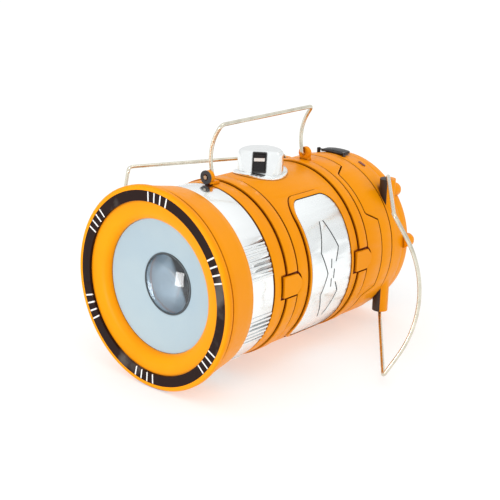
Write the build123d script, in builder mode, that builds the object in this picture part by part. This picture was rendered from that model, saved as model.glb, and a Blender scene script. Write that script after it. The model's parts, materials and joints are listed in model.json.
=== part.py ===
from build123d import *
import os
from math import asin, cos, degrees, radians, sin

# A pull-up camping lantern lying on its side: torch head at the front, solar panel at the back.
# Everything is drawn about the lantern's own axis, which runs along +Y from the torch face (station 0)
# to the solar end, with +X towards one flank and +Z towards the carry handle. The finished pieces are
# then laid down together, so that the head's rim and the end of the rear cap touch the ground.
# Angles "round the case" are counted from +Z towards +X.

# ---------------------------------------------------------------- driving dimensions, in millimetres
RIM_R = 65.1  # head rim, the widest round of the case
CASE_R = 57.7  # outside of the case
WALL = 2.2  # moulded wall
BORE_R = CASE_R - WALL  # inside of the sliding case
HEAD_END = 27.9  # rear edge of the flared head
CHROME_END = 49.6  # rear edge of the chrome grip ring
CASE_START = 50.4  # front edge of the sliding case
CAP_START = 162.0  # rear cap's body joins the case here
CAP_LEDGE = 172.6  # last full-size station of the rear cap, where a groove runs round it
CAP_LIP = 174.1  # rear edge of that groove
CAP_END = 187.6  # rear cap meets the solar frame
TOTAL = 197.0  # face of the solar frame
LIFT = 52.0  # how far the case draws back from the head
RUN = 0.05  # running clearance of a wire in its hole
WIRE_R = 1.3  # handle and bail wire
PIN_BEND = 1.6  # centre-line radius where a wire turns into its hole

# torch face
TRIM_IN, TRIM_OUT = 55.4, 62.0  # black trim ring
TRIM_DEPTH = 2.0
BAR_GROUPS, BARS, BAR_PITCH, BAR_START = 6, 4, 4.9, 5.0  # light bars on the trim ring, degrees
BAR_WIDTH, BAR_DEPTH = 1.0, 0.8
DISH_R, LENS_R = 43.0, 19.3
LIP_R, LIP_FRONT, DISH_FRONT = 49.2, 2.5, 9.0  # the bezel's face rolls inwards from here to the dish

# chrome grip ring
RIB_CENTRES = (22.5, -22.5, -67.5, -112.5, -157.5, 157.5)  # groups of ribs, from +X towards +Z
RIBS, RIB_PITCH = 7, 3.3
RIB_HEIGHT, RIB_WIDTH = 0.7, 1.5

# straps moulded round the case, and the buckles on their flanks
STRAP_R, GROOVE_R = 58.5, 56.8
GROOVES = ((-0.9, 0.9), (-0.5, 1.5))  # cut along each strap's front and rear edge
STRAPS = ((61.4, 71.5), (135.3, 144.5))
BUCKLE_ANGLE, BUCKLE_R, BUCKLE_GAP = 88.5, 59.1, 1.6

# plates on the flanks
PLATE_FRONT, PLATE_REAR, PLATE_LOW, PLATE_HIGH = 86.3, 126.3, -45.0, 46.0
PLATE_SEAT_R, PLATE_R, PLATE_GAP, PLATE_LIP, LIP_GROOVE = 56.8, 58.2, 0.6, 1.6, 1.5
PLATE_CORNER = 9.0

# tongues of the rear cap: half widths at the root and the tip, and the gap round them
TONGUE_ANGLES = (43, 137, 223, 317)
TONGUE_FRONT, TONGUE_ROOT, TONGUE_TIP, SEAM_GAP = 151.0, 22.0, 16.0, 0.8
SLEEVE_FRONT = 146.0  # the cap's sleeve reaches this far into the case
ENGRAVING = 0.5

# carry handle
HANDLE_Z = 62.5  # height of its hinge above the lantern's axis
HANDLE_FRONT, HANDLE_REAR = 53.6, 142.9  # planes of its two arms
ARM_CHORD, ARM_RISE, ARM_LEAN = 34.4, 3.4, 11.9
HANDLE_EAR_R = 4.3
CHEEK = 3.3

# hanging bails
EAR_X, EAR_Y, EAR_R = 46.0, 180.0, 5.4
EAR_TOPS = {1: 47.4, -1: 45.4}  # half height of the ears on each side
BAIL_ABOVE = 1.8  # the wire's arm runs this far beyond its ear
BAIL_BOW, BOW_R = 15.5, 76.0
NEAR_ARM, NEAR_SPLAY, NEAR_SWING = 106.0, 3.4, 37.2  # swing: how far the bail stands away from the case
FAR_ARM, FAR_SPLAY, FAR_SWING = 116.0, -2.0, 28.2
INSERT_TURN = 41.4  # the ears' dark inserts face forward and inward

# switch turret
TURRET_Y, TURRET_R, TURRET_TOP, TURRET_TURN, TURRET_LEAN = 100.0, 15.0, 72.4, 36.0, 22.0
PANEL_OUT, PANEL_Z = 9.5, 65.6
FRAME_W, FRAME_L, ROCKER_W, ROCKER_L, ROCKER_AXLE_R = 9.2, 13.6, 6.9, 10.8, 0.7
ROCKER_TILT = 9.0

# port cover
PORT_X, PORT_W, PORT_FRONT, PORT_REAR = -2.0, 20.0, 178.9, 186.9
PORT_HINGE_Y, PORT_HINGE_Z = 177.9, 58.1

# inside
CHIMNEY_R, CHIMNEY_END = 44.0, CASE_START + LIFT + 3.4
PISTON_R, PISTON_END = 55.0, 111.8
CELL_R, CELL_L, CELL_RING = 9.2, 65.0, 41.8
CELL_ANGLES = (135.0, 161.0, 187.0, 213.0)  # a little to the near side, so that the case lies still
HEAD_SCREW_RING = 50.5
END_SCREW_RING, END_SCREW_ANGLES = 49.6, (-105, -52, 52, 105)

# placing the lantern on the ground: the rim's rear edge and the rear cap's ledge both touch it
RIM_CONTACT = 3.2
TILT = degrees(asin((RIM_R - CASE_R) / (CAP_LEDGE - RIM_CONTACT)))

pieces = {}


# ---------------------------------------------------------------- helpers
def station(a):
    """The plane across the axis at a station: its x is +X, its y is +Z and it faces the front."""
    return Plane.XZ.offset(-a)


def turn(*corners, mode=Mode.ADD):
    """Turn a profile of (radius, station) corners about the lantern's axis."""
    with BuildSketch(Plane.XY) as profile:
        with BuildLine():
            Polyline(*corners, close=True)
        make_face()
    revolve(profile.sketch, axis=Axis.Y, mode=mode)


def tube(inner, outer, front, rear, mode=Mode.ADD):
    """A plain ring or disc between two stations."""
    turn((inner, front), (outer, front), (outer, rear), (inner, rear), mode=mode)


def rod(angle, ring, radius, front, rear, mode=Mode.ADD):
    """A round bar along the axis, at an angle round the case."""
    with BuildSketch(station(rear)) as circle:
        with Locations((ring * sin(radians(angle)), ring * cos(radians(angle)))):
            Circle(radius)
    extrude(circle.sketch, amount=rear - front, mode=mode)


def wedge(start, stop, front, rear, reach=80.0, mode=Mode.ADD):
    """A slice of space between two angles round the case."""
    steps = [start + (stop - start) * k / 4 for k in range(5)]
    rim = [(reach * sin(radians(t)), reach * cos(radians(t))) for t in steps]
    with BuildSketch(station(rear)) as slice_face:
        with BuildLine():
            Polyline((0, 0), *rim, close=True)
        make_face()
    extrude(slice_face.sketch, amount=rear - front, mode=mode)


def flank(side, start=0.0):
    """A plane facing one flank: its x is +Y or -Y and its y is +Z."""
    return Plane(origin=(side * start, 0, 0), x_dir=(0, side, 0), z_dir=(side, 0, 0))


def wire(points, radii, plane):
    """Sweep the round wire along straight runs joined by arcs, starting on the given plane."""
    with BuildLine() as path:
        FilletPolyline(*points, radius=radii)
    with BuildSketch(plane) as section:
        Circle(WIRE_R)
    sweep(section.sketch, path=path.line)


# ---------------------------------------------------------------- head: casing and torch face
HEAD_WALL = 2.4
with BuildPart() as front_bezel:
    turn(
        (TRIM_OUT + 0.1, TRIM_DEPTH),
        (TRIM_OUT + 0.1, 0),
        (RIM_R - 1.0, 0),
        (RIM_R, 1.0),
        (RIM_R, RIM_CONTACT),
        (RIM_R - 1.0, RIM_CONTACT + 0.9),
        (RIM_R - 1.1, RIM_CONTACT + 1.5),
        (RIM_R - 1.9, RIM_CONTACT + 1.7),
        (RIM_R - 1.9, RIM_CONTACT + 2.7),
        (RIM_R - 1.35, RIM_CONTACT + 2.9),
        (CASE_R + 1.9, HEAD_END),
        (CASE_R - 0.4, HEAD_END),
        (RIM_R - 1.0 - HEAD_WALL, RIM_CONTACT + 2.4),
        (TRIM_IN, TRIM_DEPTH + HEAD_WALL),
        (LIP_R - 0.6, LIP_FRONT + HEAD_WALL),
        (LIP_R - 2.8, LIP_FRONT + 4.0),
        (DISH_R + 2.4, DISH_FRONT),
        (DISH_R, DISH_FRONT),
        (DISH_R, DISH_FRONT - 1.6),
        (DISH_R + 0.5, DISH_FRONT - 3.2),
        (DISH_R + 1.7, DISH_FRONT - 4.7),
        (DISH_R + 3.6, DISH_FRONT - 5.8),
        (LIP_R, LIP_FRONT),
        (TRIM_IN - 0.1, TRIM_DEPTH),
    )
    for k in range(4):
        rod(45 + 90 * k, HEAD_SCREW_RING, 3.4, TRIM_DEPTH + 1.6, 46.6)
    for k in range(4):
        rod(45 + 90 * k, HEAD_SCREW_RING, 1.5, 30.0, 46.6, mode=Mode.SUBTRACT)
pieces["front_bezel"] = front_bezel


def bar_marks(length, width):
    """Rectangles of the light bars, on the plane of their backs."""
    with BuildSketch(station(BAR_DEPTH)) as marks:
        for group in range(BAR_GROUPS):
            centre = 90 - BAR_START - 360 / BAR_GROUPS * group
            first = centre - BAR_PITCH * (BARS - 1) / 2
            with PolarLocations(
                (TRIM_IN + TRIM_OUT) / 2, BARS, first, BAR_PITCH * (BARS - 1), endpoint=True
            ):
                Rectangle(length, width)
    return marks.sketch


with BuildPart() as trim_ring:
    tube(TRIM_IN, TRIM_OUT, 0, TRIM_DEPTH)
    extrude(bar_marks(TRIM_OUT - TRIM_IN + 2, BAR_WIDTH + 0.04), amount=2, mode=Mode.SUBTRACT)
pieces["trim_ring"] = trim_ring

with BuildPart() as trim_bars:
    extrude(bar_marks(TRIM_OUT - TRIM_IN - 0.5, BAR_WIDTH), amount=BAR_DEPTH)
pieces["trim_bars"] = trim_bars

DISH_IN, DISH_FLANGE = LENS_R + 0.8, DISH_R + 3.6
with BuildPart() as dish_reflector:
    with BuildSketch(Plane.XY) as dish_profile:
        with BuildLine():
            ThreePointArc((DISH_R - 0.1, DISH_FRONT - 0.6), (31.5, 12.6), (DISH_IN, 15.0))
            Polyline((DISH_IN, 15.0), (DISH_IN, 16.6))
            ThreePointArc((DISH_IN, 16.6), (31.5, 14.2), (DISH_R - 1.4, DISH_FRONT + 1.7))
            Polyline((DISH_R - 1.4, DISH_FRONT + 1.7), (DISH_FLANGE, DISH_FRONT + 1.7))
            Polyline((DISH_FLANGE, DISH_FRONT + 1.7), (DISH_FLANGE, DISH_FRONT + 0.1))
            Polyline((DISH_FLANGE, DISH_FRONT + 0.1), (DISH_R - 0.1, DISH_FRONT + 0.1))
            Polyline((DISH_R - 0.1, DISH_FRONT + 0.1), (DISH_R - 0.1, DISH_FRONT - 0.6))
        make_face()
    revolve(dish_profile.sketch, axis=Axis.Y)
pieces["dish_reflector"] = dish_reflector

with BuildPart() as lens_retainer:
    turn(
        (LENS_R - 0.4, 14.4),
        (LENS_R + 0.7, 14.7),
        (LENS_R + 0.7, 17.5),
        (LENS_R + 0.1, 17.5),
        (LENS_R + 0.1, 15.1),
        (LENS_R - 0.4, 14.9),
    )
pieces["lens_retainer"] = lens_retainer

LENS_DOME = 5.0
with BuildPart() as torch_lens:
    with BuildSketch(Plane.XY) as lens_profile:
        with BuildLine():
            Polyline((0, 15.2 - LENS_DOME), (0, 17.5), (LENS_R, 17.5), (LENS_R, 15.2))
            RadiusArc((LENS_R, 15.2), (0, 15.2 - LENS_DOME), (LENS_R**2 + LENS_DOME**2) / (2 * LENS_DOME))
        make_face()
    revolve(lens_profile.sketch, axis=Axis.Y)
pieces["torch_lens"] = torch_lens

with BuildPart() as torch_reflector:
    turn(
        (LENS_R + 1.4, 17.6),
        (LENS_R + 1.4, 18.8),
        (18.9, 18.8),
        (15.6, 25.0),
        (10.4, 31.5),
        (4.9, 35.4),
        (3.7, 35.4),
        (3.7, 34.2),
        (9.4, 30.5),
        (14.4, 24.5),
        (18.0, 17.6),
    )
pieces["torch_reflector"] = torch_reflector

with BuildPart() as torch_led_board:
    tube(0, 10.0, 36.2, 37.8)
    for k in range(3):
        rod(120 * k, 10.0, 1.6, 36.2, 37.8, mode=Mode.SUBTRACT)
pieces["torch_led_board"] = torch_led_board

with BuildPart() as torch_led:
    with BuildSketch(station(36.2)) as led_base:
        Rectangle(5, 5)
    extrude(led_base.sketch, amount=1.0)
    turn((0, 32.8), (1.5, 33.4), (2.2, 35.2), (0, 35.2))
pieces["torch_led"] = torch_led

FINS, FIN_PITCH, FIN_THICK = 9, 4.4, 1.4
with BuildPart() as heat_sink:
    tube(0, 22.0, 37.8, 40.4)
    with BuildSketch(station(46.4)) as fins:
        with GridLocations(FIN_PITCH, 0, FINS, 1):
            Rectangle(FIN_THICK, 44)
        Circle(21.8, mode=Mode.INTERSECT)
    extrude(fins.sketch, amount=6.0)
pieces["heat_sink"] = heat_sink

# ---------------------------------------------------------------- head: carrier, grip ring, screws
CARRIER_R = 56.3
with BuildPart() as head_carrier:
    turn(
        (CARRIER_R - WALL, 24.5),
        (CARRIER_R, 24.5),
        (CARRIER_R, CHROME_END),
        (0, CHROME_END),
        (0, 46.6),
        (CARRIER_R - WALL, 46.6),
    )
    for k in range(4):
        rod(45 + 90 * k, HEAD_SCREW_RING, 1.6, 46.0, CHROME_END, mode=Mode.SUBTRACT)
        rod(45 + 90 * k, HEAD_SCREW_RING, 2.9, CHROME_END - 1.8, CHROME_END, mode=Mode.SUBTRACT)
    rod(0, 40, 3.0, 46.0, CHROME_END, mode=Mode.SUBTRACT)
pieces["head_carrier"] = head_carrier

with BuildPart() as chrome_ring:
    turn(
        (CARRIER_R, HEAD_END),
        (CASE_R, HEAD_END),
        (CASE_R, CHROME_END - 0.8),
        (CASE_R - 0.6, CHROME_END),
        (CARRIER_R, CHROME_END),
    )
    with BuildSketch(station(CHROME_END - 1.0)) as rib_ends:
        for centre in RIB_CENTRES:
            first = centre - RIB_PITCH * (RIBS - 1) / 2
            with PolarLocations(CASE_R, RIBS, first, RIB_PITCH * (RIBS - 1), endpoint=True):
                RectangleRounded(2 * RIB_HEIGHT, RIB_WIDTH, 0.45)
    extrude(rib_ends.sketch, amount=CHROME_END - 1.0 - HEAD_END - 0.4)
pieces["chrome_ring"] = chrome_ring

with BuildPart() as head_screws:
    for k in range(4):
        rod(45 + 90 * k, HEAD_SCREW_RING, 1.45, 34.0, CHROME_END - 1.8)
        rod(45 + 90 * k, HEAD_SCREW_RING, 2.8, CHROME_END - 1.8, CHROME_END - 0.2)
pieces["head_screws"] = head_screws

with BuildPart() as mouth_seal:
    tube(CARRIER_R - 2.4, CARRIER_R - 0.3, CHROME_END, CASE_START - 0.2)
pieces["mouth_seal"] = mouth_seal

# ---------------------------------------------------------------- head: the lamp inside the case
with BuildPart() as chimney:
    tube(CHIMNEY_R - 1.8, CHIMNEY_R + 4.0, CHROME_END, CHROME_END + 2.0)
    tube(CHIMNEY_R - 1.8, CHIMNEY_R, CHROME_END, CHIMNEY_END)
pieces["chimney"] = chimney

BOARD_R = 38.0
with BuildPart() as lamp_board:
    tube(0, BOARD_R, CHROME_END, CHROME_END + 1.6)
pieces["lamp_board"] = lamp_board

with BuildPart() as lamp_leds:
    with BuildSketch(station(CHROME_END + 2.5)) as led_feet:
        for ring, count in ((32.0, 18), (20.0, 12)):
            with PolarLocations(ring, count):
                Rectangle(3.5, 2.8)
    extrude(led_feet.sketch, amount=0.9)
pieces["lamp_leds"] = lamp_leds

HORN_R, HORN_TIP = CHIMNEY_R - 2.0, 72.0
with BuildPart() as lamp_reflector:
    with BuildSketch(Plane.XY) as horn:
        with BuildLine():
            Polyline((0, HORN_TIP + 4), (0, HORN_TIP), (1.5, HORN_TIP))
            Spline((1.5, HORN_TIP), (14.0, 94.0), (HORN_R, CHIMNEY_END - 1.5))
            Line((HORN_R, CHIMNEY_END - 1.5), (HORN_R, CHIMNEY_END))
            Spline((HORN_R, CHIMNEY_END), (13.0, 96.2), (1.5, HORN_TIP + 4))
            Line((1.5, HORN_TIP + 4), (0, HORN_TIP + 4))
        make_face()
    revolve(horn.sketch, axis=Axis.Y)
pieces["lamp_reflector"] = lamp_reflector

with BuildPart() as piston:
    turn(
        (CHIMNEY_R + 0.1, CHIMNEY_END - 4.0),
        (CHIMNEY_R + 2.0, CHIMNEY_END - 4.0),
        (CHIMNEY_R + 2.0, CHIMNEY_END),
        (PISTON_R, CHIMNEY_END),
        (PISTON_R, 107.4),
        (PISTON_R - 1.6, 107.4),
        (PISTON_R - 1.6, 110.2),
        (PISTON_R, 110.2),
        (PISTON_R, PISTON_END),
        (PISTON_R - 2.6, PISTON_END),
        (PISTON_R - 3.4, 108.0),
        (0, 108.0),
        (0, CHIMNEY_END),
        (CHIMNEY_R + 0.1, CHIMNEY_END),
    )
pieces["piston"] = piston

with BuildPart() as piston_ring:
    tube(PISTON_R - 1.6, PISTON_R + 0.25, 107.4, 110.2)
pieces["piston_ring"] = piston_ring

# ---------------------------------------------------------------- case: the sliding body
EAR_SEAT = 58.4  # underside of the handle ear's overhang, clear of the grip ring
FOOT_TOP = 59.8  # top of the front ear's foot, under the arm's swing


def plate_outline(side, grow, start, forward=0.0):
    """The flank plate's outline, grown by a margin and moved forward, on a plane facing that flank."""
    with BuildSketch(flank(side, start)) as outline:
        middle = (((PLATE_FRONT + PLATE_REAR) / 2 - forward) * side, (PLATE_LOW + PLATE_HIGH) / 2)
        with Locations(middle):
            RectangleRounded(
                PLATE_REAR - PLATE_FRONT + 2 * grow, PLATE_HIGH - PLATE_LOW + 2 * grow, PLATE_CORNER + grow
            )
    return outline.sketch


def buckle_outline(side, strap, grow, start):
    """A buckle's outline: a square front end and a rounded rear end, on a flank plane."""
    front, rear = strap[0] - 3.6 - grow, strap[1] + 1.4 + grow
    half = 6.6 + grow
    corner, bulge = 2.5, 2.0
    low, high = (CASE_R * cos(radians(BUCKLE_ANGLE)) + way * half for way in (-1, 1))
    with BuildSketch(flank(side, start)) as outline:
        with BuildLine():
            Polyline(
                (side * rear, low + corner),
                (side * (rear - corner), low),
                (side * front, low),
                (side * front, high),
                (side * (rear - corner), high),
                (side * rear, high - corner),
            )
            ThreePointArc(
                (side * rear, high - corner),
                (side * (rear + bulge), (low + high) / 2),
                (side * rear, low + corner),
            )
        make_face()
    return outline.sketch


def tongues(gap):
    """The rear cap's four tongues, which reach forward from its seam: slanted sides, rounded corners."""
    for angle in TONGUE_ANGLES:
        outwards = (sin(radians(angle)), 0, cos(radians(angle)))
        facing = Plane(origin=(0, 0, 0), x_dir=(0, 1, 0), z_dir=outwards)
        with BuildSketch(facing.offset(30)) as tongue:
            with BuildLine():
                FilletPolyline(
                    (CAP_START + 1.0, -TONGUE_ROOT - gap),
                    (CAP_START - gap, -TONGUE_ROOT - gap),
                    (TONGUE_FRONT - gap, -TONGUE_TIP - gap),
                    (TONGUE_FRONT - gap, TONGUE_TIP + gap),
                    (CAP_START - gap, TONGUE_ROOT + gap),
                    (CAP_START + 1.0, TONGUE_ROOT + gap),
                    radius=[0.4, 3.0, 3.0, 0.4],
                )
                Line((CAP_START + 1.0, TONGUE_ROOT + gap), (CAP_START + 1.0, -TONGUE_ROOT - gap))
            make_face()
        extrude(tongue.sketch, amount=50)


with BuildPart() as plate_lips:
    tube(BORE_R + 0.5, STRAP_R, PLATE_FRONT - 5, PLATE_REAR + 5)
with BuildPart() as lip_columns:
    for side in (-1, 1):
        extrude(plate_outline(side, PLATE_GAP + PLATE_LIP, 20), amount=50)
plate_lips.part = plate_lips.part & lip_columns.part

with BuildPart() as seat_band:
    tube(PLATE_SEAT_R, STRAP_R + 5, PLATE_FRONT - 5, PLATE_REAR + 5)
with BuildPart() as seat_columns:
    for side in (-1, 1):
        extrude(plate_outline(side, PLATE_GAP, 20), amount=50)
seat_cutter = seat_band.part & seat_columns.part

with BuildPart() as groove_columns:
    for side in (-1, 1):
        extrude(plate_outline(side, PLATE_GAP + PLATE_LIP + 0.2, 20, forward=LIP_GROOVE), amount=50)
with BuildPart() as groove_band:
    tube(GROOVE_R, STRAP_R + 5, PLATE_FRONT - 6, PLATE_REAR + 6)
lip_groove = groove_band.part & groove_columns.part

with BuildPart() as tongue_gaps:
    tongues(SEAM_GAP)
with BuildPart() as tongue_shapes:
    tongues(0.0)

with BuildPart() as body_shell:
    turn(
        (BORE_R - 1.7, CASE_START),
        (CASE_R - 0.5, CASE_START),
        (CASE_R, CASE_START + 0.5),
        (CASE_R, CAP_START - SEAM_GAP),
        (BORE_R, CAP_START - SEAM_GAP),
        (BORE_R, CASE_START + 2.0),
        (BORE_R - 1.7, CASE_START + 2.0),
    )
    for strap in STRAPS:
        tube(BORE_R + 0.5, STRAP_R, strap[0], strap[1])
        for edge, (front, rear) in zip(strap, GROOVES):
            tube(GROOVE_R, STRAP_R + 1, edge + front, edge + rear, mode=Mode.SUBTRACT)
        for side in (-1, 1):
            surround = buckle_outline(side, strap, BUCKLE_GAP, GROOVE_R - 0.2)
            extrude(surround, amount=20, mode=Mode.SUBTRACT)
            extrude(buckle_outline(side, strap, 0, GROOVE_R - 1.0), amount=BUCKLE_R - GROOVE_R + 1.0)
    add(lip_groove, mode=Mode.SUBTRACT)
    add(plate_lips.part)
    add(seat_cutter, mode=Mode.SUBTRACT)
    add(tongue_gaps.part, mode=Mode.SUBTRACT)
    # front handle ear: a foot on the case and a cheek that overhangs the grip ring
    front_face = HANDLE_FRONT - 1.7 - CHEEK
    with BuildSketch(Plane.YZ.offset(-3.4)) as foot:
        with BuildLine():
            Polyline(
                (front_face, EAR_SEAT),
                (CASE_START + 0.6, EAR_SEAT),
                (CASE_START + 0.6, CASE_R - 0.8),
                (HANDLE_FRONT + 3.4, CASE_R - 0.8),
                (HANDLE_FRONT + 3.4, FOOT_TOP - 0.8),
                (HANDLE_FRONT + 2.6, FOOT_TOP),
                (front_face, FOOT_TOP),
                close=True,
            )
        make_face()
    extrude(foot.sketch, amount=6.8)
    rod(0, HANDLE_Z, HANDLE_EAR_R - 0.2, front_face, front_face + CHEEK)
    # rear handle ear, behind the rear arm
    rod(0, HANDLE_Z, HANDLE_EAR_R, HANDLE_REAR + 1.7, HANDLE_REAR + 1.7 + CHEEK)
    with BuildSketch(Plane.YZ.offset(-3.4)) as rear_foot:
        with BuildLine():
            Polyline(
                (HANDLE_REAR + 1.7, CASE_R - 0.8),
                (HANDLE_REAR + 6.5, CASE_R - 0.8),
                (HANDLE_REAR + 1.7 + CHEEK, 61.0),
                (HANDLE_REAR + 1.7, 61.0),
                close=True,
            )
        make_face()
    extrude(rear_foot.sketch, amount=6.8)
    for face in (front_face + CHEEK, HANDLE_REAR + 1.7 + CHEEK):
        rod(0, HANDLE_Z, WIRE_R + RUN, face - CHEEK, face, mode=Mode.SUBTRACT)
    # opening under the switch turret
    with BuildSketch(Plane.XY.offset(50)) as switch_opening:
        with Locations((0, TURRET_Y)):
            Circle(9.0)
    extrude(switch_opening.sketch, amount=9.5, mode=Mode.SUBTRACT)
    # screw holes of the turret
    with BuildSketch(Plane.XY.offset(50)) as turret_holes:
        with Locations((0, TURRET_Y)):
            with GridLocations(0, 23.0, 1, 2):
                Circle(1.1)
    extrude(turret_holes.sketch, amount=9.5, mode=Mode.SUBTRACT)
pieces["body_shell"] = body_shell

with BuildPart() as handle_washer:
    rod(0, HANDLE_Z, HANDLE_EAR_R + 0.1, front_face - 1.2, front_face)
    rod(0, HANDLE_Z, 2.0, front_face - 1.2, front_face, mode=Mode.SUBTRACT)
pieces["handle_washer"] = handle_washer

# ---------------------------------------------------------------- case: flank plates
# engraved pattern: two facing chevron lines and three short dashes, as (station, height)
PATTERN = (
    ((107.0, 33.0), (114.5, 16.0), (110.5, 7.0)),
    ((110.5, -7.0), (114.5, -14.0), (109.5, -32.0)),
    ((103.5, 33.0), (96.5, 15.0), (102.0, 0.5), (97.0, -14.0), (105.0, -32.0)),
    ((106.2, 9.5), (105.6, 3.5)),
    ((108.6, 2.5), (108.2, -4.0)),
    ((105.8, -3.5), (106.4, -9.5)),
)


def engraved_plate(side):
    """One flank plate, curved to the case, with its line pattern cut into the face."""
    with BuildPart() as band:
        tube(PLATE_SEAT_R, PLATE_R, PLATE_FRONT - 5, PLATE_REAR + 5)
    with BuildPart() as column:
        extrude(plate_outline(side, 0, 20), amount=50)
    with BuildPart() as skin:
        tube(PLATE_R - ENGRAVING, PLATE_R + 2, PLATE_FRONT, PLATE_REAR)
    with BuildPart() as lines:
        with BuildSketch(flank(side, 20)) as drawing:
            for run in PATTERN:
                with BuildLine():
                    Polyline(*[(side * a, z) for a, z in run])
                trace(line_width=0.9)
        extrude(drawing.sketch, amount=50)
    with BuildPart() as plate:
        add((band.part & column.part) - (skin.part & lines.part))
    return plate


for name, side in (("plate_near", 1), ("plate_far", -1)):
    pieces[name] = engraved_plate(side)

# ---------------------------------------------------------------- case: switch turret
panel_out = (sin(radians(TURRET_TURN)), -cos(radians(TURRET_TURN)))
lean_in, lean_up = cos(radians(TURRET_LEAN)), sin(radians(TURRET_LEAN))
panel_normal = (panel_out[0] * lean_in, panel_out[1] * lean_in, lean_up)
panel_origin = (panel_out[0] * PANEL_OUT, TURRET_Y + panel_out[1] * PANEL_OUT, PANEL_Z)
panel_across = (-panel_out[1], panel_out[0], 0)
panel = Plane(origin=panel_origin, x_dir=panel_across, z_dir=panel_normal)
rocker_side = Plane(origin=panel.origin, x_dir=panel.y_dir, z_dir=panel.x_dir)
PANEL_WALL = 1.8

with BuildPart() as turret_room:
    with BuildSketch(Plane.XY.offset(50)) as room_floor:
        with Locations((0, TURRET_Y)):
            Circle(TURRET_R - PANEL_WALL)
    extrude(room_floor.sketch, amount=TURRET_TOP - PANEL_WALL - 50)
    split(bisect_by=panel.offset(-PANEL_WALL), keep=Keep.BOTTOM)

with BuildPart() as turret_skirt:
    tube(CASE_R, CASE_R + 1.7, TURRET_Y - 25, TURRET_Y + 25)
with BuildPart() as skirt_column:
    with BuildSketch(Plane.XY.offset(45)) as skirt_outline:
        with Locations((0, TURRET_Y)):
            Ellipse(17.2, 18.6)
    extrude(skirt_outline.sketch, amount=20)
skirt = turret_skirt.part & skirt_column.part

with BuildPart() as turret_housing:
    with BuildSketch(Plane.XY.offset(54)) as tower_outline:
        with Locations((0, TURRET_Y)):
            Circle(TURRET_R)
    extrude(tower_outline.sketch, amount=TURRET_TOP - 54)
    fillet(turret_housing.edges().group_by(Axis.Z)[-1], radius=3.2)
    split(bisect_by=panel, keep=Keep.BOTTOM)
    add(skirt)
    tube(0, CASE_R, TURRET_Y - 30, TURRET_Y + 30, mode=Mode.SUBTRACT)
    add(turret_room.part, mode=Mode.SUBTRACT)
    with BuildSketch(panel.offset(1)) as switch_cutout:
        Rectangle(FRAME_W - 0.7, FRAME_L - 1.1)
    extrude(switch_cutout.sketch, amount=-4, mode=Mode.SUBTRACT)
pieces["turret_housing"] = turret_housing

with BuildPart() as rocker_frame:
    with BuildSketch(panel) as bezel_face:
        RectangleRounded(FRAME_W, FRAME_L, 0.6)
    extrude(bezel_face.sketch, amount=0.9)
    with BuildSketch(panel) as frame_body:
        Rectangle(FRAME_W - 0.8, FRAME_L - 1.2)
    extrude(frame_body.sketch, amount=-5.6)
    with BuildSketch(panel.offset(0.9)) as frame_room:
        Rectangle(ROCKER_W + 0.5, ROCKER_L + 0.6)
    extrude(frame_room.sketch, amount=-5.7, mode=Mode.SUBTRACT)
    with BuildSketch(rocker_side.offset(-FRAME_W / 2)) as axle_bore:
        Circle(ROCKER_AXLE_R + RUN)
    extrude(axle_bore.sketch, amount=FRAME_W, mode=Mode.SUBTRACT)
pieces["rocker_frame"] = rocker_frame

# the rocker, pressed at its lower end: its profile is tipped about the axle
with BuildPart() as rocker:
    tip = radians(ROCKER_TILT)
    crown = ((-5.4, -1.0), (-5.4, 2.1), (0.0, 1.1), (5.4, 2.1), (5.4, -1.0), (2.6, -2.6), (-2.6, -2.6))
    tipped = [(v * cos(tip) - w * sin(tip), v * sin(tip) + w * cos(tip)) for v, w in crown]
    with BuildSketch(rocker_side.offset(-ROCKER_W / 2)) as rocker_profile:
        with BuildLine():
            Polyline(*tipped, close=True)
        make_face()
    extrude(rocker_profile.sketch, amount=ROCKER_W)
    with BuildSketch(rocker_side.offset(-ROCKER_W / 2 - 0.6)) as axle:
        Circle(ROCKER_AXLE_R)
    extrude(axle.sketch, amount=ROCKER_W + 1.2)
pieces["rocker"] = rocker

# ---------------------------------------------------------------- case: rear bulkhead, power, boards
with BuildPart() as rear_bulkhead:
    turn(
        (0, 114.8),
        (BORE_R, 114.8),
        (BORE_R, 120.0),
        (BORE_R - 1.6, 120.0),
        (BORE_R - 1.6, 117.0),
        (0, 117.0),
    )
    rod(0, 40, 3.0, 114.0, 118.0, mode=Mode.SUBTRACT)
pieces["rear_bulkhead"] = rear_bulkhead

CRADLE_R = 53.2
with BuildPart() as cradle_room:
    tube(CELL_RING + CELL_R + 0.2, CRADLE_R, 118.0, 186.2)
    tube(31.0, CRADLE_R, 118.0, 119.4)
    tube(31.0, CRADLE_R, 184.8, 186.2)
with BuildPart() as cradle_slice:
    wedge(CELL_ANGLES[0] - 15, CELL_ANGLES[-1] + 15, 117, 187)
with BuildPart() as battery_holder:
    add(cradle_room.part & cradle_slice.part)
pieces["battery_holder"] = battery_holder

with BuildPart() as battery_cells:
    for angle in CELL_ANGLES:
        rod(angle, CELL_RING, CELL_R, 119.5, 119.5 + CELL_L)
pieces["battery_cells"] = battery_cells

with BuildPart() as control_board:
    with BuildSketch(Plane.XY.offset(2.0)) as board_outline:
        with Locations((0, 148)):
            Rectangle(72, 52)
            with GridLocations(64, 44, 2, 2):
                Circle(1.6, mode=Mode.SUBTRACT)
    extrude(board_outline.sketch, amount=1.6)
pieces["control_board"] = control_board

with BuildPart() as board_parts:
    with BuildSketch(Plane.XY.offset(3.6)) as chips:
        with Locations((-18, 140), (-18, 156)):
            Rectangle(10, 8)
        with Locations((6, 136), (20, 136)):
            Circle(3.2)
        with Locations((8, 158)):
            Rectangle(12, 12)
    extrude(chips.sketch, amount=5.5)
pieces["board_parts"] = board_parts

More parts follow.
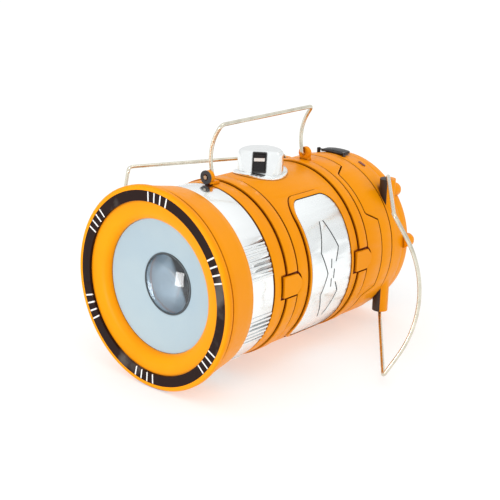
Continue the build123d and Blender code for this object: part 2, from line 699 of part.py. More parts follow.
# ---------------------------------------------------------------- rear cap, ports and solar panel
CAP_ROOM_R = 54.2
PIN_HOLE = 9.0  # depth of a bail pin's hole in its ear
with BuildPart() as tongue_band:
    tube(BORE_R - 0.1, CASE_R, TONGUE_FRONT, CAP_START + 0.5)
tongue_part = tongue_band.part & tongue_shapes.part


def ear_posts(radius, depth, mode=Mode.ADD):
    """Round posts or holes of the bails' four ears, from their outer ends inwards."""
    for side, top in EAR_TOPS.items():
        for way in (-1, 1):
            with BuildSketch(Plane.XY.offset(way * top)) as post:
                with Locations((side * EAR_X, EAR_Y)):
                    Circle(radius)
            extrude(post.sketch, amount=-way * depth, mode=mode)


with BuildPart() as insert_room:
    with BuildSketch(Plane.XY.offset(-60)) as insert_outline:
        for side in (-1, 1):
            with Locations(Location((side * EAR_X, EAR_Y), side * INSERT_TURN)):
                with Locations((-side * (EAR_R + 0.8), 0)):
                    Rectangle(2 * EAR_R, 4 * EAR_R)
    extrude(insert_outline.sketch, amount=120)

with BuildPart() as all_posts:
    ear_posts(EAR_R, 26)

BARREL_R = 0.6
LUG_BASE, LUG_HEIGHT = 54.9, 4.2


def hinge_outline(shrink):
    """Outlines of the two lugs that carry the charging cover."""
    with BuildSketch(Plane.XY.offset(LUG_BASE)) as outlines:
        with Locations((PORT_X, PORT_HINGE_Y)):
            with GridLocations(PORT_W + 2.0, 0, 2, 1):
                Rectangle(1.4 - shrink, 2.6 - shrink)
    return outlines.sketch


with BuildPart() as cover_hinge:
    extrude(hinge_outline(0.02), amount=LUG_HEIGHT)
    with BuildSketch(Plane.YZ.offset(-20)) as lug_bore:
        with Locations((PORT_HINGE_Y, PORT_HINGE_Z)):
            Circle(BARREL_R + RUN)
    extrude(lug_bore.sketch, amount=40, mode=Mode.SUBTRACT)
pieces["cover_hinge"] = cover_hinge

with BuildPart() as rear_cap:
    turn(
        (BORE_R - 0.1, CAP_START),
        (CASE_R, CAP_START),
        (CASE_R, CAP_LEDGE),
        (CASE_R - 1.5, CAP_LEDGE + 0.3),
        (CASE_R - 1.5, CAP_LIP - 0.2),
        (CASE_R - 0.4, CAP_LIP),
        (CASE_R - 1.5, CAP_END),
        (CAP_ROOM_R, CAP_END),
        (CAP_ROOM_R, 166.0),
        (BORE_R - 2.1, 164.0),
        (BORE_R - 2.1, SLEEVE_FRONT),
        (BORE_R - 0.1, SLEEVE_FRONT),
    )
    add(tongue_part)
    add(all_posts.part)
    ear_posts(WIRE_R + RUN, PIN_HOLE, mode=Mode.SUBTRACT)
    tube(0, CAP_ROOM_R, 166.0, CAP_END, mode=Mode.SUBTRACT)
    for angle in END_SCREW_ANGLES:
        rod(angle, END_SCREW_RING, 5.0, 174.0, CAP_END)
    for angle in END_SCREW_ANGLES:
        rod(angle, END_SCREW_RING, 1.5, 176.0, CAP_END, mode=Mode.SUBTRACT)
    # opening for the charging sockets, and two seats for the cover's hinge
    with BuildSketch(Plane.XY.offset(50)) as port_opening:
        with Locations((PORT_X, (PORT_FRONT + PORT_REAR) / 2 + 0.4)):
            Rectangle(16, 5.6)
    extrude(port_opening.sketch, amount=10, mode=Mode.SUBTRACT)
    extrude(hinge_outline(0.0), amount=LUG_HEIGHT, mode=Mode.SUBTRACT)

# the charge light sits in a slot beside the cover, facing straight out of the cap
LIGHT_ANGLE, LIGHT_Y = 22.0, 183.0
light_out = (sin(radians(LIGHT_ANGLE)), 0, cos(radians(LIGHT_ANGLE)))
light_plane = Plane(
    origin=(light_out[0] * 52, LIGHT_Y, light_out[2] * 52),
    x_dir=(cos(radians(LIGHT_ANGLE)), 0, -sin(radians(LIGHT_ANGLE))),
    z_dir=light_out,
)
with BuildPart() as light_slot:
    with BuildSketch(light_plane) as light_outline:
        SlotOverall(6.0, 2.2)
    extrude(light_outline.sketch, amount=8)
with BuildPart() as charge_light:
    with BuildSketch(light_plane.offset(1.0)) as light_body:
        SlotOverall(5.9, 2.1)
    extrude(light_body.sketch, amount=4.0)
pieces["charge_light"] = charge_light

with BuildPart() as post_fronts:
    add(all_posts.part & insert_room.part)
    tube(0, CASE_R - 0.35, 165.0, CAP_END, mode=Mode.SUBTRACT)
with BuildPart() as ear_inserts:
    add(post_fronts.part)
    ear_posts(WIRE_R + RUN, PIN_HOLE, mode=Mode.SUBTRACT)
pieces["ear_inserts"] = ear_inserts

with BuildPart() as finished_cap:
    add(rear_cap.part)
    add(light_slot.part, mode=Mode.SUBTRACT)
    add(post_fronts.part, mode=Mode.SUBTRACT)
pieces["rear_cap"] = finished_cap

with BuildPart() as port_board:
    with BuildSketch(Plane.XY.offset(43.0)) as port_board_outline:
        with Locations((PORT_X, 182.0)):
            Rectangle(26, 9)
    extrude(port_board_outline.sketch, amount=1.6)
pieces["port_board"] = port_board

with BuildPart() as usb_socket:
    with BuildSketch(Plane.XY.offset(44.6)) as usb_outline:
        with Locations((PORT_X - 3.6, 183.3)):
            RectangleRounded(7.8, 3.4, 0.6)
    extrude(usb_outline.sketch, amount=10.0)
    with BuildSketch(Plane.XY.offset(48.6)) as usb_mouth:
        with Locations((PORT_X - 3.6, 183.3)):
            RectangleRounded(6.9, 2.5, 0.4)
            Rectangle(4.2, 0.7, mode=Mode.SUBTRACT)
    extrude(usb_mouth.sketch, amount=7.0, mode=Mode.SUBTRACT)
pieces["usb_socket"] = usb_socket

with BuildPart() as dc_socket:
    with BuildSketch(Plane.XY.offset(44.6)) as dc_outline:
        with Locations((PORT_X + 4.4, 183.3)):
            Circle(2.6)
    extrude(dc_outline.sketch, amount=10.0)
    with BuildSketch(Plane.XY.offset(46.6)) as dc_mouth:
        with Locations((PORT_X + 4.4, 183.3)):
            Circle(1.9)
            Circle(0.6, mode=Mode.SUBTRACT)
    extrude(dc_mouth.sketch, amount=9.0, mode=Mode.SUBTRACT)
pieces["dc_socket"] = dc_socket

# the rubber cover: a curved flap, a shallow plug under it and the barrel of its hinge
with BuildPart() as flap_band:
    tube(CASE_R - 0.25, CASE_R + 1.3, PORT_FRONT, PORT_REAR)
with BuildPart() as flap_column:
    with BuildSketch(Plane.XY.offset(50)) as flap_outline:
        with Locations((PORT_X, (PORT_FRONT + PORT_REAR) / 2)):
            RectangleRounded(PORT_W, PORT_REAR - PORT_FRONT, 1.0)
    extrude(flap_outline.sketch, amount=20)
with BuildPart() as port_cover:
    add(flap_band.part & flap_column.part)
    with BuildSketch(Plane.XY.offset(55.6)) as plug_outline:
        with Locations((PORT_X, (PORT_FRONT + PORT_REAR) / 2 + 0.4)):
            RectangleRounded(14.8, 4.4, 0.8)
    extrude(plug_outline.sketch, amount=2.2)
    with BuildSketch(Plane.YZ.offset(PORT_X - PORT_W / 2 - 1.4)) as hinge_barrel:
        with Locations((PORT_HINGE_Y, PORT_HINGE_Z)):
            Circle(BARREL_R)
    extrude(hinge_barrel.sketch, amount=PORT_W + 2.8)
    with BuildSketch(Plane.XY.offset(PORT_HINGE_Z - 0.4)) as hinge_web:
        with Locations((PORT_X, (PORT_HINGE_Y + PORT_FRONT + 0.6) / 2)):
            Rectangle(6.0, PORT_FRONT + 0.6 - PORT_HINGE_Y)
    extrude(hinge_web.sketch, amount=0.8)
pieces["port_cover"] = port_cover

LUG_ANGLES = (49, 87, -49, -87)
LUG_RING = 55.6
with BuildPart() as solar_frame:
    turn(
        (43.0, CAP_END + 1.0),
        (43.0, 194.0),
        (45.6, 194.0),
        (45.6, 196.2),
        (46.6, TOTAL),
        (52.4, TOTAL),
        (55.4, 194.6),
        (CASE_R - 1.5, CAP_END),
        (53.4, CAP_END),
        (53.0, CAP_END + 1.0),
    )
    for angle in LUG_ANGLES:
        rod(angle, LUG_RING, 4.6, CAP_END + 1.0, TOTAL - 1.2)
        rod(angle, LUG_RING, 3.8, TOTAL - 1.4, TOTAL)
    for angle in END_SCREW_ANGLES:
        rod(angle, END_SCREW_RING, 1.6, CAP_END, TOTAL, mode=Mode.SUBTRACT)
        rod(angle, END_SCREW_RING, 2.7, TOTAL - 2.0, TOTAL, mode=Mode.SUBTRACT)
pieces["solar_frame"] = solar_frame

with BuildPart() as end_screws:
    for angle in END_SCREW_ANGLES:
        rod(angle, END_SCREW_RING, 1.45, 178.0, TOTAL - 2.0)
        rod(angle, END_SCREW_RING, 2.5, TOTAL - 2.0, TOTAL - 0.4)
        with BuildSketch(station(TOTAL - 0.4)) as screw_cross:
            with Locations(
                Location(
                    (END_SCREW_RING * sin(radians(angle)), END_SCREW_RING * cos(radians(angle))), angle
                )
            ):
                Rectangle(3.2, 0.7)
                Rectangle(0.7, 3.2)
        extrude(screw_cross.sketch, amount=1.0, mode=Mode.SUBTRACT)
pieces["end_screws"] = end_screws

with BuildPart() as solar_board:
    tube(0, 42.8, 190.6, 192.4)
pieces["solar_board"] = solar_board

CELL_STRIP, STRIP_GAP, STRIPS = 11.4, 0.6, 6
with BuildPart() as solar_cells:
    with BuildSketch(station(193.0)) as strips:
        with GridLocations(CELL_STRIP + STRIP_GAP, 0, STRIPS, 1):
            Rectangle(CELL_STRIP, 100)
        Circle(41.6, mode=Mode.INTERSECT)
    extrude(strips.sketch, amount=0.6)
pieces["solar_cells"] = solar_cells

with BuildPart() as solar_window:
    tube(0, 45.5, 194.0, 195.8)
pieces["solar_window"] = solar_window

# ---------------------------------------------------------------- the wire handle and the two bails
KNEE_R, CORNER_R, PIN_DEPTH = 32.0, 3.0, 7.5  # bends of the wires, and how far a bail's pin reaches in
lean = radians(ARM_LEAN)
along, across = (sin(lean), cos(lean)), (-cos(lean), sin(lean))
knee_x = ARM_CHORD / 2 * along[0] + 2 * ARM_RISE * across[0]
knee_z = HANDLE_Z + ARM_CHORD / 2 * along[1] + 2 * ARM_RISE * across[1]
grip_x, grip_z = ARM_CHORD * along[0], HANDLE_Z + ARM_CHORD * along[1]
pin_front, pin_rear = front_face - 1.4, HANDLE_REAR + 1.7 + CHEEK + 0.6
with BuildPart() as carry_handle:
    wire(
        [
            (0, pin_front, HANDLE_Z),
            (0, HANDLE_FRONT, HANDLE_Z),
            (knee_x, HANDLE_FRONT, knee_z),
            (grip_x, HANDLE_FRONT, grip_z),
            (grip_x, HANDLE_REAR, grip_z),
            (knee_x, HANDLE_REAR, knee_z),
            (0, HANDLE_REAR, HANDLE_Z),
            (0, pin_rear, HANDLE_Z),
        ],
        [PIN_BEND, KNEE_R, CORNER_R, CORNER_R, KNEE_R, PIN_BEND],
        Plane(origin=(0, pin_front, HANDLE_Z), z_dir=(0, 1, 0)),
    )
pieces["carry_handle"] = carry_handle


def bail(side, length, splay, swing):
    """A hanging bail on one side, swung outwards from lying along the case."""
    out = radians(swing)
    arm = (side * sin(out) * length, -cos(out) * length)
    bow = (side * cos(out) * 2 * BAIL_BOW, sin(out) * 2 * BAIL_BOW)
    hinge_x, top = side * EAR_X, EAR_TOPS[side] + BAIL_ABOVE
    corner = (hinge_x + arm[0], EAR_Y + arm[1])
    crown = (corner[0] + bow[0], corner[1] + bow[1])
    pin_end = EAR_TOPS[side] - PIN_DEPTH
    with BuildPart() as loop:
        wire(
            [
                (hinge_x, EAR_Y, pin_end),
                (hinge_x, EAR_Y, top),
                (corner[0], corner[1], top + splay),
                (crown[0], crown[1], 0),
                (corner[0], corner[1], -top - splay),
                (hinge_x, EAR_Y, -top),
                (hinge_x, EAR_Y, -pin_end),
            ],
            [PIN_BEND, CORNER_R, BOW_R, CORNER_R, PIN_BEND],
            Plane(origin=(hinge_x, EAR_Y, pin_end), z_dir=(0, 0, 1)),
        )
    return loop


pieces["near_bail"] = bail(1, NEAR_ARM, NEAR_SPLAY, NEAR_SWING)
pieces["far_bail"] = bail(-1, FAR_ARM, FAR_SPLAY, FAR_SWING)

# ---------------------------------------------------------------- lay the lantern down and write it
tipped_down = Rotation(-TILT, 0, 0)
boxes = [piece.part.moved(tipped_down).bounding_box() for piece in pieces.values()]
low = [min(tuple(box.min)[k] for box in boxes) for k in range(3)]
high = [max(tuple(box.max)[k] for box in boxes) for k in range(3)]
LYING = Pos(-(low[0] + high[0]) / 2, -(low[1] + high[1]) / 2, -low[2]) * tipped_down

os.makedirs("parts", exist_ok=True)
for label, piece in pieces.items():
    piece.part.move(LYING)
    piece.part.label = label
    export_step(piece.part, f"parts/{label}.step")
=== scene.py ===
import json
import math

import bpy
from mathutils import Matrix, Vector


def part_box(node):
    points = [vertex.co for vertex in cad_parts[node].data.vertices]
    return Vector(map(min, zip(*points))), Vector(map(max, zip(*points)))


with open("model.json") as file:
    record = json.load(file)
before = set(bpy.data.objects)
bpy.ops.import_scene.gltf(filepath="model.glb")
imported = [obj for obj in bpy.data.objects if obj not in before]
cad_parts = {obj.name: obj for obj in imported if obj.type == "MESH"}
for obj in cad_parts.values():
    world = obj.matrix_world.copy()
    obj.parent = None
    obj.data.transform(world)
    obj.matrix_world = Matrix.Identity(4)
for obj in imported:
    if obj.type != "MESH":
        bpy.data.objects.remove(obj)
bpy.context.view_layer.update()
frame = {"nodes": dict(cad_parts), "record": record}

# A pull-up camping lantern lying on its side. Everything is in metres in the frame of the CAD model.
# The lantern's own axis is found from two of its round pieces, and the materials measure from it:
# x across the lantern, y along it from the torch face, z towards the carry handle.
MM = 0.001
SWITCH = "rocker"


# ---------------------------------------------------------------- the lantern's own frame
def centre(node):
    """The middle of a CAD node's box."""
    low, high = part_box(node)
    return (low + high) / 2


TRIM_DEPTH = 2.0 * MM
axis = (centre("solar_board") - centre("trim_ring")).normalized()
face_centre = centre("trim_ring") - axis * TRIM_DEPTH / 2
tilt = math.atan2(axis.z, axis.y)

# ---------------------------------------------------------------- node helpers
SOCKETS_OF_RANGE = ("From Min", "From Max", "To Min", "To Max")
PAINT_EDGE = 0.1 * MM  # how softly a painted patch ends
CREVICE_SAMPLES = 8
CREVICE_SHUT, CREVICE_OPEN = 0.35, 0.85  # how open a place is where the painted shade is full, and where it ends


class Surface:
    """A Principled material under construction, with short calls for its usual parts."""

    def __init__(self, name, colour, roughness, metallic=0.0, **inputs):
        self.material = bpy.data.materials.new(name)
        self.material.use_nodes = True
        self.tree = self.material.node_tree
        self.shader = self.tree.nodes["Principled BSDF"]
        self.shader.inputs["Base Color"].default_value = (*colour, 1)
        self.shader.inputs["Roughness"].default_value = roughness
        self.shader.inputs["Metallic"].default_value = metallic
        for socket, value in inputs.items():
            self.shader.inputs[socket.replace("_", " ")].default_value = value
        self.colour = None
        self.bump = None
        self.material.diffuse_color = (*colour, 1)

    def node(self, kind, **settings):
        made = self.tree.nodes.new("ShaderNode" + kind)
        for key, value in settings.items():
            setattr(made, key, value)
        return made

    def link(self, source, target):
        self.tree.links.new(source, target)

    def place(self):
        """Object coordinates turned into the lantern's own frame."""
        where = self.node("TexCoord").outputs["Object"]
        turn = self.node("Mapping", vector_type="TEXTURE")
        turn.inputs["Location"].default_value = face_centre
        turn.inputs["Rotation"].default_value = (tilt, 0, 0)
        self.link(where, turn.inputs["Vector"])
        return turn.outputs["Vector"]

    def split(self, vector):
        """The X, Y and Z outputs of a vector."""
        parts = self.node("SeparateXYZ")
        self.link(vector, parts.inputs[0])
        return parts.outputs

    def noise(self, scale, detail=3.0, stretch=(1, 1, 1)):
        """Noise with about `scale` features to the metre."""
        texture = self.node("TexNoise")
        texture.inputs["Scale"].default_value = scale
        texture.inputs["Detail"].default_value = detail
        squeeze = self.node("VectorMath", operation="MULTIPLY")
        squeeze.inputs[1].default_value = stretch
        self.link(self.place(), squeeze.inputs[0])
        self.link(squeeze.outputs[0], texture.inputs["Vector"])
        return texture.outputs["Fac"]

    def ramp(self, source, low, high, to_low=0.0, to_high=1.0):
        """Map a value from low..high to another range, clamped."""
        mapped = self.node("MapRange")
        for socket, value in zip(SOCKETS_OF_RANGE, (low, high, to_low, to_high)):
            mapped.inputs[socket].default_value = value
        self.link(source, mapped.inputs["Value"])
        return mapped.outputs["Result"]

    def combine(self, operation, first, second):
        """One sum, product or other arithmetic of two values or outputs."""
        made = self.node("Math", operation=operation)
        for socket, value in zip(made.inputs, (first, second)):
            if isinstance(value, (int, float)):
                socket.default_value = value
            else:
                self.link(value, socket)
        return made.outputs[0]

    def tint(self, mask, colour):
        """Lay a colour over what the base has so far, where the mask is 1."""
        mix = self.node("Mix", data_type="RGBA")
        self.link(mask, mix.inputs["Factor"])
        if self.colour is None:
            mix.inputs["A"].default_value = self.shader.inputs["Base Color"].default_value
        else:
            self.link(self.colour, mix.inputs["A"])
        mix.inputs["B"].default_value = (*colour, 1)
        self.colour = mix.outputs["Result"]
        self.link(self.colour, self.shader.inputs["Base Color"])

    def patches(self, colour, scale, share, detail=3.0, low=0.35, high=0.7):
        """Soft patches of a second colour, laid on up to the given share."""
        self.tint(self.ramp(self.noise(scale, detail), low, high, 0.0, share), colour)

    def rough(self, scale, detail, smooth, dull, low=0.3, high=0.7):
        """Roughness that wanders between two values."""
        wander = self.ramp(self.noise(scale, detail), low, high, smooth, dull)
        self.link(wander, self.shader.inputs["Roughness"])

    def grain(self, height, depth):
        """Add a bump of the given depth in metres."""
        bump = self.node("Bump")
        bump.inputs["Strength"].default_value = 1
        bump.inputs["Distance"].default_value = depth
        self.link(height, bump.inputs["Height"])
        if self.bump is not None:
            self.link(self.bump, bump.inputs["Normal"])
        self.bump = bump.outputs["Normal"]
        self.link(self.bump, self.shader.inputs["Normal"])

    def painted_crevice_shade(self, colour, reach, share):
        """Painted shade: darken the colour of what sits in narrow gaps and grooves."""
        closed = self.node("AmbientOcclusion", samples=CREVICE_SAMPLES)
        closed.inputs["Distance"].default_value = reach
        self.tint(self.ramp(closed.outputs["AO"], CREVICE_SHUT, CREVICE_OPEN, share, 0.0), colour)

    def radius(self):
        """Distance from the lantern's axis."""
        across = self.node("VectorMath", operation="MULTIPLY")
        across.inputs[1].default_value = (1, 0, 1)
        self.link(self.place(), across.inputs[0])
        length = self.node("VectorMath", operation="LENGTH")
        self.link(across.outputs[0], length.inputs[0])
        return length.outputs["Value"]


def shaded(colour, share):
    """A colour made darker or lighter in proportion."""
    return tuple(share * part for part in colour)


# ---------------------------------------------------------------- materials
GROOVE_TOP, GROOVE_FLOOR = 57.45 * MM, 57.2 * MM
CAP_LIP = 174.0 * MM


def moulded_orange(name="moulded_orange", paint_groove_shade=False):
    """Orange moulded plastic, with painted shade in its narrow gaps and a dark red-brown painted shade down
    in its grooves.
    """
    s = Surface(name, (0.93, 0.325, 0.001), 0.36, Specular_IOR_Level=0.1)
    s.patches((0.87, 0.28, 0.001), 22, 0.6, low=0.4)
    # painted shade in narrow gaps and grooves
    s.painted_crevice_shade((0.2, 0.03, 0.004), 2.4 * MM, 0.9)
    if paint_groove_shade:
        # painted shade down in the grooves: below the case surface and in front of the cap's lip
        station = s.split(s.place())["Y"]
        groove_shade_mask = s.ramp(s.radius(), GROOVE_FLOOR, GROOVE_TOP, 1.0, 0.0)
        before_lip = s.ramp(station, CAP_LIP, CAP_LIP + PAINT_EDGE, 1.0, 0.0)
        s.tint(s.combine("MULTIPLY", groove_shade_mask, before_lip), (0.13, 0.014, 0.002))
    s.rough(420, 5, 0.28, 0.42)
    s.grain(s.noise(1500, 2), 0.02 * MM)
    return s.material


def trim_black():
    """The trim ring: brown-black, with paler patches here and there painted in as reflections."""
    s = Surface("trim_black", (0.016, 0.006, 0.005), 0.4, Specular_IOR_Level=0.1)
    # paler patches: painted reflections on the dark ring
    s.patches((0.12, 0.105, 0.095), 30, 0.8, detail=4, low=0.58, high=0.68)
    s.rough(380, 5, 0.34, 0.5)
    s.grain(s.noise(1800, 2), 0.015 * MM)
    return s.material


def moulded_black(name="moulded_black", colour=(0.012, 0.009, 0.008), roughness=0.22):
    """Glossy dark moulded plastic."""
    s = Surface(name, colour, roughness, Coat_Weight=0.2, Coat_Roughness=0.1)
    s.patches(shaded(colour, 1.8), 60, 0.6, low=0.4)
    s.rough(380, 5, roughness - 0.05, roughness + 0.12)
    s.grain(s.noise(1800, 2), 0.015 * MM)
    return s.material


def plated():
    """Chrome plating over plastic: bright and slightly wavy, with faint smudges and painted shade in its
    crevices and between its ribs.
    """
    s = Surface("plated", (0.93, 0.96, 0.965), 0.18, 1.0)
    # painted shade in the crevices and between the ribs
    s.painted_crevice_shade((0.07, 0.085, 0.095), 1.2 * MM, 0.85)
    s.rough(130, 4, 0.14, 0.3, low=0.35, high=0.75)
    s.grain(s.noise(70, 2), 0.05 * MM)
    return s.material


PLATE_R, ENGRAVING = 58.2 * MM, 0.5 * MM
PAINT_FROM, PAINT_FULL = PLATE_R - 0.3 * ENGRAVING, PLATE_R - 0.6 * ENGRAVING


def plated_plate():
    """The flank plates' plating, with dark paint in the engraved lines."""
    s = Surface("plated_plate", (0.93, 0.965, 0.97), 0.26, 1.0)
    painted = s.ramp(s.radius(), PAINT_FULL, PAINT_FROM, 1.0, 0.0)
    s.rough(110, 4, 0.22, 0.34, low=0.35, high=0.75)
    s.tint(painted, (0.05, 0.055, 0.06))
    s.link(s.ramp(painted, 0, 1, 1.0, 0.0), s.shader.inputs["Metallic"])
    s.grain(s.noise(45, 2), 0.02 * MM)
    return s.material


def pale_dish():
    """The torch's dish: a satin pale blue-grey."""
    s = Surface("pale_dish", (0.38, 0.49, 0.56), 0.5, Specular_IOR_Level=0.25)
    s.patches((0.43, 0.53, 0.57), 30, 0.7)
    s.rough(500, 4, 0.45, 0.6)
    s.grain(s.noise(900, 2), 0.02 * MM)
    return s.material


def mirror_cone(name="mirror_cone", colour=(0.75, 0.8, 0.84), roughness=0.14):
    """Vacuum-plated reflector, a little uneven."""
    s = Surface(name, colour, roughness, 0.8)
    s.patches(shaded(colour, 0.8), 90, 0.5)
    s.rough(300, 4, roughness - 0.05, roughness + 0.08)
    s.grain(s.noise(200, 2), 0.03 * MM)
    return s.material


def clear_glass(name, tint, roughness=0.02, ior=1.49):
    """Clear moulding that refracts, with faint haze."""
    s = Surface(name, tint, roughness, Transmission_Weight=1.0, IOR=ior)
    s.rough(250, 4, roughness, roughness + 0.05, low=0.4, high=0.8)
    s.grain(s.noise(120, 2), 0.01 * MM)
    return s.material


def light_bar():
    """Milky white of the trim ring's bars."""
    s = Surface("light_bar", (0.85, 0.84, 0.82), 0.35)
    s.patches((0.78, 0.76, 0.74), 900, 0.4, low=0.4)
    s.grain(s.noise(2500, 2), 0.01 * MM)
    return s.material


def steel_wire():
    """Plated spring wire: bright, with fine grain and a yellowish cast."""
    s = Surface("steel_wire", (0.74, 0.71, 0.6), 0.24, 1.0)
    s.patches((0.5, 0.46, 0.36), 160, 0.6, low=0.4, high=0.75)
    s.rough(600, 5, 0.18, 0.34)
    s.grain(s.noise(2600, 2), 0.01 * MM)
    return s.material


def bright_metal(name, colour, roughness):
    """Bare or plated metal, with painted shade in its corners."""
    s = Surface(name, colour, roughness, 1.0)
    # painted shade in the corners
    s.painted_crevice_shade(shaded(colour, 0.2), 0.8 * MM, 0.7)
    s.rough(700, 4, roughness - 0.06, roughness + 0.1)
    s.grain(s.noise(2400, 2), 0.01 * MM)
    return s.material


def matt_plastic(name, colour, roughness=0.6):
    """Plain matt moulding."""
    s = Surface(name, colour, roughness)
    s.patches(shaded(colour, 0.7), 90, 0.6)
    s.rough(500, 4, roughness - 0.08, roughness + 0.1)
    s.grain(s.noise(1600, 3), 0.03 * MM)
    return s.material


HIGHLIGHT_FROM, HIGHLIGHT_TO = 0.9 * MM, 3.0 * MM


def rocker_with_painted_highlight():
    """Black rocker with a white band painted above its middle: a painted highlight where its upper half
    catches the light.
    """
    s = Surface("rocker_with_painted_highlight", (0.01, 0.009, 0.011), 0.24, Specular_IOR_Level=0.3)
    height = s.split(s.node("TexCoord").outputs["Object"])["Z"]
    start, end = (centre(SWITCH).z + edge for edge in (HIGHLIGHT_FROM, HIGHLIGHT_TO))
    # painted highlight: the white band on the rocker's upper half
    above = s.ramp(height, start, start + PAINT_EDGE)
    below = s.ramp(height, end, end + PAINT_EDGE, 1.0, 0.0)
    s.tint(s.combine("MULTIPLY", above, below), (0.86, 0.87, 0.86))
    s.rough(380, 5, 0.2, 0.34)
    s.grain(s.noise(1800, 2), 0.015 * MM)
    return s.material


SOLAR_PITCH, FINGER_PITCH = 12.0 * MM, 1.3 * MM
BUS_FROM, BUS_FULL = SOLAR_PITCH / 2 - 0.7 * MM, SOLAR_PITCH / 2 - 0.5 * MM


def solar_silicon():
    """Dark blue silicon with fine silver fingers and one bus bar along each strip."""
    s = Surface("solar_silicon", (0.006, 0.012, 0.06), 0.22, Coat_Weight=0.5)
    across = s.split(s.place())
    s.patches((0.01, 0.028, 0.12), 45, 0.8, detail=6)
    fingers = s.combine("PINGPONG", across["Z"], FINGER_PITCH / 2)
    s.tint(s.ramp(fingers, 0.0, PAINT_EDGE, 0.85, 0.0), (0.5, 0.52, 0.55))
    bus = s.combine("PINGPONG", across["X"], SOLAR_PITCH / 2)
    s.tint(s.ramp(bus, BUS_FROM, BUS_FULL), (0.6, 0.62, 0.65))
    s.grain(s.noise(2000, 2), 0.01 * MM)
    return s.material


TRACK_SCALE = 260  # bricks to the metre


def circuit_board(name="circuit_board", mask=(0.012, 0.12, 0.045), copper=(0.02, 0.2, 0.08)):
    """Solder mask over copper tracks."""
    s = Surface(name, mask, 0.35, Coat_Weight=0.4)
    tracks = s.node("TexBrick", offset=0.5)
    tracks.inputs["Scale"].default_value = TRACK_SCALE
    s.link(s.place(), tracks.inputs["Vector"])
    s.tint(s.ramp(tracks.outputs["Fac"], 0.2, 0.8), copper)
    s.rough(500, 4, 0.3, 0.42)
    s.grain(tracks.outputs["Fac"], 0.03 * MM)
    return s.material


def soft_rubber():
    """Black rubber with a dusty sheen."""
    s = Surface("soft_rubber", (0.018, 0.018, 0.019), 0.7, Sheen_Weight=0.15)
    s.patches((0.03, 0.03, 0.032), 150, 0.8)
    s.rough(600, 4, 0.6, 0.8)
    s.grain(s.noise(1800, 3), 0.04 * MM)
    return s.material


def cell_sleeve():
    """Blue shrink sleeve of a cell, wrinkled along its length."""
    s = Surface("cell_sleeve", (0.02, 0.12, 0.34), 0.3, Coat_Weight=0.5)
    s.patches((0.03, 0.16, 0.42), 70, 0.6)
    s.grain(s.noise(500, 3, stretch=(1, 0.1, 1)), 0.04 * MM)
    return s.material


def phosphor():
    """Yellow phosphor of the LEDs."""
    s = Surface("phosphor", (0.9, 0.66, 0.12), 0.4, Coat_Weight=0.6)
    s.patches((0.85, 0.75, 0.3), 600, 0.5)
    s.grain(s.noise(3000, 2), 0.02 * MM)
    return s.material


# ---------------------------------------------------------------- which piece has which material
finish_of_slot = {
    "orange_plastic": moulded_orange(),
    "black_plastic": moulded_black(),
    "white_bars": light_bar(),
    "plated_plastic": plated(),
    "reflector": mirror_cone(),
    "clear_lens": clear_glass("clear_lens", (0.93, 0.97, 1.0)),
    "clear_plastic": clear_glass("clear_plastic", (0.97, 0.98, 0.99), 0.12),
    "steel_wire": steel_wire(),
    "screw_steel": bright_metal("screw_steel", (0.55, 0.55, 0.56), 0.3),
    "sheet_steel": bright_metal("sheet_steel", (0.62, 0.62, 0.63), 0.25),
    "heat_sink": bright_metal("heat_sink", (0.7, 0.71, 0.73), 0.35),
    "cell_can": cell_sleeve(),
    "grey_plastic": matt_plastic("grey_plastic", (0.05, 0.05, 0.053)),
    "rubber": soft_rubber(),
    "circuit_board": circuit_board(),
    "led": phosphor(),
    "chips": matt_plastic("chips", (0.02, 0.02, 0.022), 0.5),
    "solar_cell": solar_silicon(),
    "light_pipe": moulded_black("light_pipe", (0.16, 0.012, 0.004), 0.15),
}
slot_of = {s["node"]: s["material_slot"] for s in frame["record"]["subparts"]}
finish_of_node = {
    "body_shell": moulded_orange("orange_painted_groove_shade", paint_groove_shade=True),
    "trim_ring": trim_black(),
    SWITCH: rocker_with_painted_highlight(),
    "plate_near": plated_plate(),
    "dish_reflector": pale_dish(),
    "torch_reflector": mirror_cone("torch_cone", (0.6, 0.7, 0.77), 0.34),
    "torch_lens": clear_glass("lens_glass", (0.84, 0.92, 0.98), 0.03, 1.7),
    "lens_retainer": matt_plastic("retainer", (0.06, 0.075, 0.085), 0.4),
    # the ear inserts are coloured dark brown-black as painted shade on the ears' shaded front sides
    "ear_inserts": matt_plastic("ear_painted_shade", (0.035, 0.02, 0.014), 0.5),
    "lamp_board": circuit_board("white_board", (0.75, 0.76, 0.74), (0.66, 0.67, 0.66)),
}
finish_of_node["plate_far"] = finish_of_node["plate_near"]
finish_of_node["rear_cap"] = finish_of_node["body_shell"]

SHARP = math.radians(32)
WELD_WITHIN = 0.002 * MM
EDGE = 0.25 * MM
fine_edges = {
    "trim_bars": 0.06 * MM,
    "trim_ring": 0.12 * MM,
    "chrome_ring": 0.12 * MM,
    "usb_socket": 0.06 * MM,
    "dc_socket": 0.08 * MM,
}


def finish_node(name, node):
    """Give a CAD node its material and soften its edges, without changing its own mesh."""
    node.data.materials.clear()
    node.data.materials.append(finish_of_node.get(name) or finish_of_slot[slot_of[name]])
    weld = node.modifiers.new("weld", "WELD")
    weld.merge_threshold = WELD_WITHIN
    bevel = node.modifiers.new("edges", "BEVEL")
    bevel.width = fine_edges.get(name, EDGE)
    bevel.segments = 2
    bevel.limit_method = "ANGLE"
    bevel.angle_limit = SHARP
    bevel.harden_normals = True
    bevel.use_clamp_overlap = True


for name, node in frame["nodes"].items():
    finish_node(name, node)

# ---------------------------------------------------------------- floor, light and camera
FLOOR_SIZE, FLOOR_GLOW = 6.0, 0.48
SKY_AT_HORIZON, SKY_OVERHEAD = 0.78, 1.1


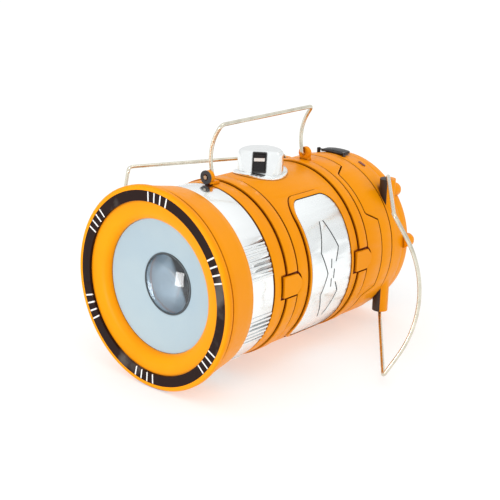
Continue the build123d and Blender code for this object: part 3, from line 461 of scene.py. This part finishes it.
def pale_floor():
    """Off-white paper that glows a little, so that it stays pale all round."""
    s = Surface("pale_floor", (0.56, 0.56, 0.555), 0.7, Specular_IOR_Level=0.1)
    s.patches((0.54, 0.54, 0.535), 3, 0.3, low=0.4)
    s.shader.inputs["Emission Color"].default_value = (1, 1, 1, 1)
    s.shader.inputs["Emission Strength"].default_value = FLOOR_GLOW
    return s.material


bpy.ops.mesh.primitive_plane_add(size=FLOOR_SIZE)
floor = bpy.context.object
floor.name = "floor"
floor.data.materials.append(pale_floor())


def studio_world():
    """White light from all round, a little stronger from above."""
    world = bpy.data.worlds.new("studio")
    world.use_nodes = True
    nodes, links = world.node_tree.nodes, world.node_tree.links
    background = nodes["Background"]
    background.inputs["Color"].default_value = (1, 1, 1, 1)
    heading = nodes.new("ShaderNodeTexCoord")
    height = nodes.new("ShaderNodeSeparateXYZ")
    overhead = nodes.new("ShaderNodeMapRange")
    for socket, value in zip(SOCKETS_OF_RANGE, (0, 1, SKY_AT_HORIZON, SKY_OVERHEAD)):
        overhead.inputs[socket].default_value = value
    links.new(heading.outputs["Generated"], height.inputs[0])
    links.new(height.outputs["Z"], overhead.inputs["Value"])
    links.new(overhead.outputs["Result"], background.inputs["Strength"])
    return world


bpy.context.scene.world = studio_world()


def softbox(name, place, size, watts, aim):
    """A rectangular lamp that points at a place."""
    data = bpy.data.lights.new(name, "AREA")
    data.shape = "RECTANGLE"
    data.size, data.size_y = size
    data.energy = watts
    lamp = bpy.data.objects.new(name, data)
    lamp.location = place
    lamp.rotation_mode = "QUATERNION"
    lamp.rotation_quaternion = (Vector(aim) - Vector(place)).to_track_quat("-Z", "Y")
    bpy.context.scene.collection.objects.link(lamp)


softbox("key", place=(0.5, -0.4, 1.1), size=(0.6, 0.6), watts=1.6, aim=(0, 0, 0.06))
softbox("strip", place=(-0.03, -0.42, 0.075), size=(0.1, 0.15), watts=0.42, aim=(0, -0.1, 0.065))

CAMERA_AIM = Vector((-0.0032, -0.0086, 0.0675))
CAMERA_AZIMUTH = math.radians(41.43)
CAMERA_ELEVATION = math.radians(19.70)
CAMERA_DISTANCE = 0.8412
LENS_MM = 91.8
away = Vector(
    (
        math.sin(CAMERA_AZIMUTH) * math.cos(CAMERA_ELEVATION),
        -math.cos(CAMERA_AZIMUTH) * math.cos(CAMERA_ELEVATION),
        math.sin(CAMERA_ELEVATION),
    )
)
camera = bpy.data.objects.new("camera", bpy.data.cameras.new("camera"))
camera.data.lens = LENS_MM
camera.data.clip_start, camera.data.clip_end = 0.01, 50
camera.location = CAMERA_AIM + away * CAMERA_DISTANCE
camera.rotation_mode = "QUATERNION"
camera.rotation_quaternion = (-away).to_track_quat("-Z", "Y")
bpy.context.scene.collection.objects.link(camera)
bpy.context.scene.camera = camera
bpy.context.scene.view_settings.view_transform = "Standard"
